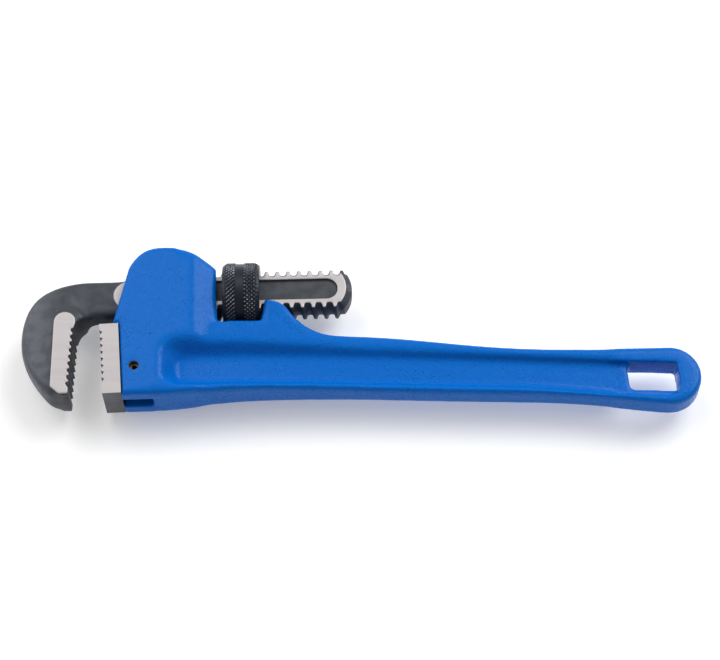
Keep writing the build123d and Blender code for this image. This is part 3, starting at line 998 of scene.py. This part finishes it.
@dataclass
class HeelJaw(SubAssembly):
    """The hardened lower jaw block and the pin that holds it.

    Args:
        edge: width of the broken edges.
        flat_angle: faces that meet at less than this become one.
        edge_angle: edges sharper than this are broken.
        smooth_angle: edges sharper than this stay sharp.
    """

    edge: float = 0.2 * MM
    flat_angle: float = math.radians(1)
    edge_angle: float = math.radians(25)
    smooth_angle: float = math.radians(20)

    def build(self) -> bpy.types.Object:
        """Build the block, with its edges broken, and return it."""
        block = solid_copy("heel_jaw", "heel_block")
        with editing(block):
            bpy.ops.mesh.dissolve_limited(angle_limit=self.flat_angle)
        apply_modifier(
            block, "BEVEL", width=self.edge, segments=2, limit_method="ANGLE",
            angle_limit=self.edge_angle,
        )
        sliver = self.edge / 10
        with editing(block):
            bpy.ops.mesh.remove_doubles(threshold=sliver)
            bpy.ops.mesh.dissolve_degenerate(threshold=sliver)
        keep_in_box(block, "heel_jaw")
        bpy.ops.object.shade_smooth_by_angle(angle=self.smooth_angle)
        return block

    def dress(self, block: bpy.types.Object, steel: bpy.types.Material) -> None:
        """Give the block and the pin their finishes.

        Args:
            block: the jaw block.
            steel: the pin's spring steel.
        """
        finish = GroundAndForged("heel_hardened_and_ground", pads_from=8.6 * MM)
        block.data.materials.append(finish.make(self.effects, self.datum))
        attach(block, Body.ROOT.value)
        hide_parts("heel_jaw")
        paint_node("heel_jaw_pin", steel)


@dataclass
class SprungSeat(SubAssembly):
    """The coil spring, leaf and rivet on which the shank rocks.

    Args:
        wire: radius of the spring's wire, in millimetres, as are the other sizes.
        turns: how many turns the coil has.
        pivot: x of the edge on which the jaw rocks; not used.
        wire_sides: how many facets go round the wire.
        turn_steps: how many facets one turn has.
        smooth_angle: edges sharper than this stay sharp.
    """

    wire: float = 0.45
    turns: int = 6
    pivot: float = -44.0
    wire_sides: int = 14
    turn_steps: int = 36
    smooth_angle: float = math.radians(50)

    def build(self) -> bpy.types.Object:
        """Wind the coil inside its CAD node's box and return it."""
        low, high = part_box("coil_spring")
        middle = (low + high) / 2
        radius = (high.z - low.z) / 2 - self.wire * MM
        wind = (high.y - low.y - 2 * self.wire * MM) / self.turns
        bpy.ops.object.select_all(action="DESELECT")
        bpy.ops.mesh.primitive_circle_add(
            vertices=self.wire_sides, radius=self.wire * MM, location=(radius, 0, 0)
        )
        coil = bpy.context.active_object
        coil.name = "seat_coil"
        bpy.ops.object.transform_apply(location=True, rotation=True, scale=True)
        apply_modifier(
            coil, "SCREW", axis="Y", angle=math.tau, iterations=self.turns,
            steps=self.turn_steps, render_steps=self.turn_steps, screw_offset=wind,
            use_normal_calculate=True,
        )
        with editing(coil):
            bpy.ops.mesh.remove_doubles(threshold=SAME_PLACE)
            bpy.ops.mesh.fill_holes(sides=0)
        face_outwards(coil)
        points = corners(coil)
        shift = np.array(middle) - (points.min(0) + points.max(0)) / 2
        place_corners(coil, points + shift)
        keep_in_box(coil, "coil_spring")
        bpy.ops.object.shade_smooth_by_angle(angle=self.smooth_angle)
        return coil

    def dress(self, coil: bpy.types.Object, steel: bpy.types.Material) -> None:
        """Give the springs their steel, and the coil a mesh of its own.

        Args:
            coil: the wound coil.
            steel: the spring steel.
        """
        coil.data.materials.append(steel)
        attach(coil, Body.ROOT.value)
        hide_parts("coil_spring")
        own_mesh(coil)
        for node in ("flat_spring", "spring_rivet"):
            paint_node(node, steel)


def paint_node(node: str, finish: bpy.types.Material) -> None:
    """Give a CAD node that stays as it is its finish."""
    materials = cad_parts[node].data.materials
    materials.clear()
    materials.append(finish)


# -------- studio


@dataclass(frozen=True)
class Studio:
    """A plain pale floor, soft light and the camera.

    Args:
        distance: from the camera to the wrench, in metres.
        tilt: degrees that the camera leans from straight above.
        roll: degrees that the camera turns about its own line of sight.
        lens: focal length in millimetres, for a sensor 36 mm wide.
        aim: x and y of the point looked at, in millimetres from the wrench's middle.
        floor_size: the floor's side, in metres.
        floor_tone: the floor's grey, and its roughness.
        floor_glow: how strongly the floor lights itself.
        lamps: name, place, side and power of each soft box.
        sky: strength of the surroundings on the camera's side and behind the wrench.
        sky_span: directions along y between which it changes.
    """

    distance: float = 0.85
    tilt: float = 26.2
    roll: float = 1.3
    lens: float = 115.3
    aim: tuple = (0.5, 1.1)
    floor_size: float = 6.0
    floor_tone: float = 0.9
    floor_glow: float = 0.26
    lamps: tuple = (
        ("key", (0.85, 0.75, 1.16), 1.1, 17.0),
        ("fill", (-0.9, 0.6, 1.15), 1.5, 12.0),
    )
    sky: tuple = (0.26, 0.56)
    sky_span: tuple = (-0.5, 0.7)

    def floor(self) -> None:
        """Lay the floor on which the wrench lies."""
        bpy.ops.object.select_all(action="DESELECT")
        bpy.ops.mesh.primitive_plane_add(size=self.floor_size, location=(0, 0, CAD_BOX[0].z))
        ground = bpy.context.active_object
        ground.name = "floor"
        material = bpy.data.materials.new("pale_floor")
        material.use_nodes = True
        Graph(material.node_tree).fill(material.node_tree.nodes["Principled BSDF"], {
            "Base Color": (*[self.floor_tone] * 3, 1.0),
            "Roughness": self.floor_tone,
            "Emission Color": (1.0, 1.0, 1.0, 1.0),
            "Emission Strength": self.floor_glow,
        })
        ground.data.materials.append(material)

    def lamp(self, name: str, place: tuple, size: float, power: float) -> None:
        """Hang a square soft box that faces the wrench.

        Args:
            name: the lamp's name.
            place: where it hangs, in metres.
            size: the side of the box.
            power: its power in watts.
        """
        light = bpy.data.lights.new(name, "AREA")
        light.size = size
        light.energy = power
        lamp = bpy.data.objects.new(name, light)
        lamp.location = place
        lamp.rotation_euler = (-Vector(place)).to_track_quat("-Z", "Y").to_euler()
        bpy.context.scene.collection.objects.link(lamp)

    def lights(self) -> None:
        """Set the soft boxes and the white surroundings."""
        for lamp in self.lamps:
            self.lamp(*lamp)
        world = bpy.data.worlds.new("studio")
        bpy.context.scene.world = world
        world.use_nodes = True
        graph = Graph(world.node_tree)
        way = world.node_tree.nodes.new("ShaderNodeTexCoord").outputs["Generated"]
        behind = graph.ramp(graph.add("SeparateXYZ", {0: way}).outputs[1], *self.sky_span)
        graph.fill(world.node_tree.nodes["Background"], {
            "Color": (1.0, 1.0, 1.0, 1.0),
            "Strength": graph.mix(behind, *self.sky),
        })

    def camera(self) -> None:
        """Place the camera."""
        low, high = CAD_BOX
        aside, above = self.aim
        target = Vector((
            (low.x + high.x) / 2 + aside * MM,
            (low.y + high.y) / 2 + above * MM,
            (low.z + high.z) / 2,
        ))
        lean = math.radians(self.tilt)
        back = Vector((0, -math.sin(lean), math.cos(lean)))
        data = bpy.data.cameras.new("camera")
        data.lens = self.lens
        camera = bpy.data.objects.new("camera", data)
        turn = (-back).to_track_quat("-Z", "Y").to_matrix().to_4x4()
        turn = turn @ Matrix.Rotation(-math.radians(self.roll), 4, "Z")
        camera.matrix_world = Matrix.Translation(target + back * self.distance) @ turn
        bpy.context.scene.collection.objects.link(camera)
        bpy.context.scene.camera = camera


def main() -> None:
    """Build the wrench's pieces in order, then the studio."""
    logging.basicConfig(level=logging.INFO, format="%(name)s %(message)s")
    datum = Datum.from_frame()
    effects = SharedEffects()
    steel = SpringSteel().make(effects)
    handle = HandleCasting(datum, effects)
    casting = handle.build()
    handle.dress(casting)
    hook = HookForging(datum, effects)
    forging = hook.build()
    hook.dress(forging)
    nut = KnurledNut(datum, effects)
    knurled = nut.build()
    nut.dress(knurled)
    heel = HeelJaw(datum, effects)
    block = heel.build()
    heel.dress(block, steel)
    seat = SprungSeat(datum, effects)
    coil = seat.build()
    seat.dress(coil, steel)
    for piece in (casting, forging, knurled, block, coil):
        LOG.info("%s: %d faces", piece.name, len(piece.data.polygons))
    studio = Studio()
    studio.floor()
    studio.lights()
    studio.camera()
    bpy.context.scene.view_settings.view_transform = "Standard"


if __name__ == "__main__":
    main()
